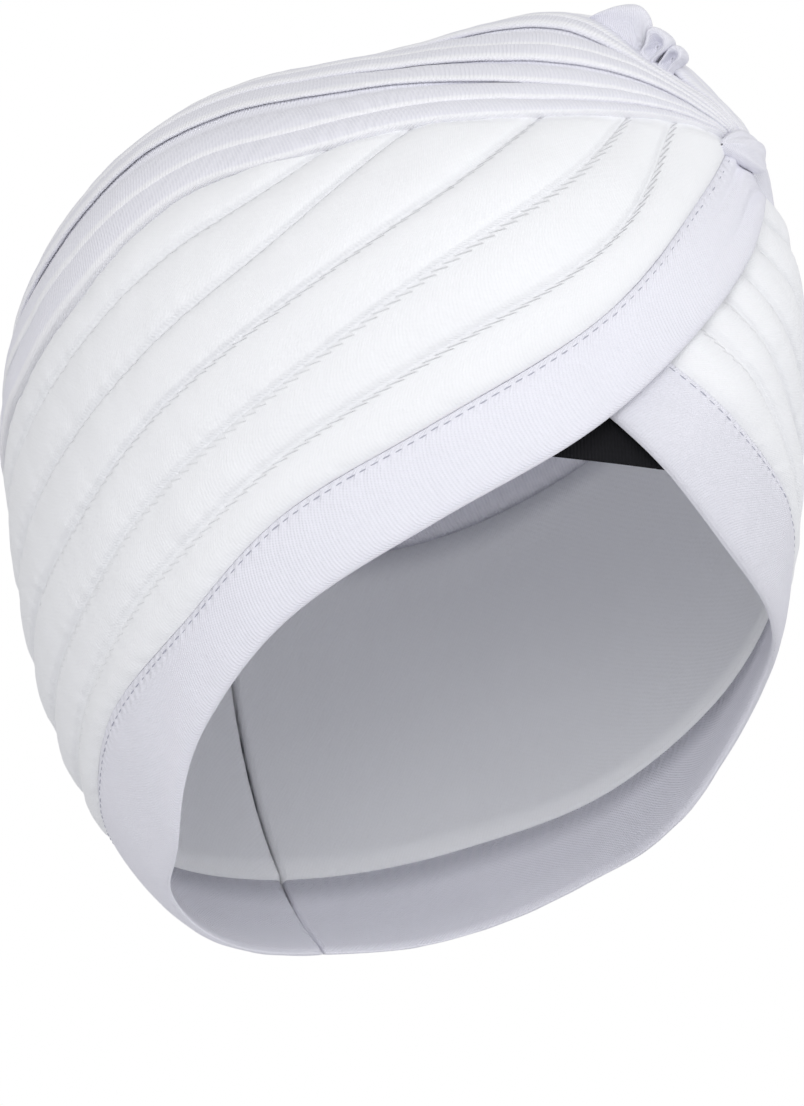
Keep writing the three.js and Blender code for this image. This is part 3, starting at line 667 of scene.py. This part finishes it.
def pleated_jersey():
    """Thin ribbed jersey in knife pleats, with a painted highlight that pales its fold edges."""
    material = jersey("pleated_thin_jersey", "#F3F3FB", "#E1E1EC", 0.9, 0.1, 0.85)
    tree = material.node_tree
    surface = tree.nodes["Principled BSDF"]
    fold = add_node(tree, "SeparateXYZ", Vector=add_node(tree, "UVMap", {"uv_map": "fold"}).outputs["UV"])
    # Painted highlight: near each fold edge the colour is mixed up to half way to white
    from_edge = add_node(tree, "Math", {"operation": "SUBTRACT"}, _0=fold.outputs["X"], _1=0.03)
    far = add_node(tree, "Math", {"operation": "ABSOLUTE"}, _0=from_edge.outputs[0])
    painted_edge_highlight = add_node(tree, "MapRange", {"interpolation_type": "SMOOTHSTEP"}, Value=far.outputs[0],
                      From_Min=0.02, From_Max=0.13, To_Min=0.5, To_Max=0.0)
    mixed = add_node(tree, "Mix", {"data_type": "RGBA"}, Factor=painted_edge_highlight.outputs[0])
    tree.links.new(surface.inputs["Base Color"].links[0].from_socket, mixed.inputs[6])
    mixed.inputs[7].default_value = linear("#FFFFFF")
    tree.links.new(mixed.outputs[2], surface.inputs["Base Color"])
    return material


crown_jersey = pleated_jersey()
crown = pleated_crown("pleated_crown")
crown.data.materials.append(crown_jersey)
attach(crown, "root")
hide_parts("crown")

# Brow insert
# A small piece of black knit behind the notch where the two hems cross, the only part of it that shows.
# It is one thickness of rib knit, caught under both hems.
INSERT = {"right": -22, "left": 28, "lower": -13, "fall": 0.08, "upper": 9, "depth": 5.3, "thickness": 1.2}


def brow_insert_spots(depth):
    """One face of the insert, this deep in the cloth."""
    along = np.linspace(0, 1, 61)[None, :]
    up = np.linspace(0, 1, 31)[:, None]
    azimuth = INSERT["right"] + (INSERT["left"] - INSERT["right"]) * along
    low = INSERT["lower"] - INSERT["fall"] * azimuth
    azimuth, elevation = np.broadcast_arrays(azimuth, low + (INSERT["upper"] - low) * up)
    return on_form(direction(azimuth, elevation), -depth - underlap(azimuth, elevation))


front = brow_insert_spots(INSERT["depth"])
behind = brow_insert_spots(INSERT["depth"] + INSERT["thickness"])
behind[:, 0], behind[:, -1] = front[:, 0], front[:, -1]
insert = lay_cloth("black_knit_insert", np.concatenate([front, behind[::-1], front[:1]]))
insert.data.materials.append(jersey("black_rib_knit", "#17171B", "#0C0C10", 0.8, 0.12, 0.9, fuzz_sheen=0.0))
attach(insert, "root")
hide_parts("brow_insert")

# Knot
# A short strip of the crown's jersey rolled tightly round the gathers at the front left. Its turns show
# as shallow folds across the roll, and its ends are tucked under. It reaches WRAP_ROOT millimetres down.
WRAP = {"azimuth": 38.3, "elevation": 29.9, "heading": 2, "length": 25, "width": 13, "height": 2.9}
WRAP_ROOT = 3.0


def seat_on(azimuth, elevation, heading):
    """Where a small piece sits on the form, the way along it and the way across it."""
    out = direction(azimuth, elevation)
    east = np.cross((0, 0, 1), out)
    east = east / np.linalg.norm(east)
    north = np.cross(out, east)
    turn = math.radians(heading)
    along = east * math.cos(turn) + north * math.sin(turn)
    return on_form(out, 0.0), along, np.cross(out, along)


def way_to(spots):
    """Directions from the form's centre to these points."""
    way = spots + np.array((0, 0, CENTRE_DROP))
    return way / np.linalg.norm(way, axis=-1, keepdims=True)


def knot_wrap(name):
    """The roll: rounded and folded on top, plain below, and narrower towards one end."""
    at, along, across = seat_on(WRAP["azimuth"], WRAP["elevation"], WRAP["heading"])
    share = np.linspace(-1, 1, 65)[None, :]
    turn = np.linspace(0, 2 * math.pi, 97)[:, None]
    full = np.sqrt(np.maximum(0.0, 1 - 0.995 * share ** 2))
    folds = 0.55 * np.sin(turn * 4 + 1.2 * share + 0.6) + 0.2 * np.sin(turn * 9 - 2 * share)
    width = WRAP["width"] / 2 * full * (0.7 + 0.3 * share) * np.ones_like(turn)
    spots = at + along * (WRAP["length"] / 2 * share)[..., None] * np.ones_like(turn)[..., None]
    spots = spots + across * (np.cos(turn) * width)[..., None]
    up = np.maximum(0, np.sin(turn)) ** 0.8 * (WRAP["height"] + folds) * full
    under = np.minimum(0, np.sin(turn)) * WRAP_ROOT * np.ones_like(share)
    spots = on_form(way_to(spots), 0.4 + up + under + 0.25 * grain(spots, 5, 2.0))
    return lay_cloth(name, spots)


knot_jersey = jersey("rolled_thin_jersey", "#F1F1F9", "#DCDCE7", 0.55, 0.09, 0.86)
wrap = knot_wrap("rolled_knot_wrap")
wrap.data.materials.append(knot_jersey)
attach(wrap, "root")
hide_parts("knot_wrap")

# Ruffle
# The ends of three pleats stand up behind the knot: a broad one that runs down beside the front pleats,
# and two small loops below it, open towards the front. Each is folded jersey, sewn down at its root.
# Azimuth, elevation, heading, then length, height and width in millimetres, and the power that moves the
# highest point along, or 0 for an open loop
BROAD_LOBE = (41, 54.8, -90, 17, 9.2, 5.4, 1.6)
LOOPS = {"b": (43.5, 49.5, 5, 10, 8.4, 5.6, 0), "c": (44.8, 47.1, 5, 9, 7.4, 4.6, 0)}
# The fold in cross-section, in shares of its width and height: a root and a rounded head
LOBE_OUTLINE = [(-0.36, 0), (0.36, 0), (0.34, 0.3), (0.4, 0.52), (0.5, 0.74), (0.38, 0.95), (0, 1),
                (-0.38, 0.95), (-0.5, 0.74), (-0.4, 0.52), (-0.34, 0.3), (-0.36, 0)]
# A loop's cloth from deep in its mouth out over the rim: share of its length, size of the outline
MOUTH = [(0.34, 0.04), (0.3, 0.3), (0.2, 0.46), (0.1, 0.56), (0.03, 0.66), (0.0, 0.78), (0.01, 0.9),
         (0.04, 0.97)]
# The root's height over the form in millimetres: below 0, so that it sits in the crown's cloth
ROOT = -0.6


def ruffle_lobe(name, azimuth, elevation, heading, length, height, width, crest):
    """A standing fold, closed at both ends, or open at its near end if it has no crest."""
    at, along, across = seat_on(azimuth, elevation, heading)
    share, size = np.linspace(0, 1, 49), np.ones(49)
    if crest:
        fullness = np.maximum(0.05, np.sin(math.pi * share ** crest) ** 0.6)
    else:
        mouth, narrowed = np.array(MOUTH).T
        share = np.concatenate([mouth, np.linspace(0.08, 1, 41)])
        size = np.concatenate([narrowed, np.ones(41)])
        fullness = np.maximum(0.05, np.sqrt(1 - share ** 2.5))
    steps = np.linspace(0, len(LOBE_OUTLINE) - 1, 67)
    smear = np.array([0.25, 0.5, 0.25])
    sideways, up = (np.interp(steps, range(len(LOBE_OUTLINE)), part) for part in zip(*LOBE_OUTLINE))
    for _ in range(12):
        sideways[1:-1] = np.convolve(sideways, smear, "valid")
        up[1:-1] = np.convolve(up, smear, "valid")
    sideways, up = sideways[:, None] * size, 0.5 + (up[:, None] - 0.5) * size
    way = way_to(at + along * (length * (share - 0.5))[:, None])[None]
    foot = on_form(way, np.full((1, len(share)), ROOT))
    spots = foot + across * (sideways * width * (0.35 + 0.65 * fullness))[..., None]
    spots = spots + way * (up * height * fullness)[..., None]
    spots = spots + across * (1.4 * grain(spots, 6, 6.0) * up)[..., None]
    return lay_cloth(name, spots)


for letter, numbers in {"a": BROAD_LOBE, **LOOPS}.items():
    lobe = ruffle_lobe("standing_pleat_" + letter, *numbers)
    lobe.data.materials.append(knot_jersey)
    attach(lobe, "root")
    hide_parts("ruffle_lobe_" + letter)
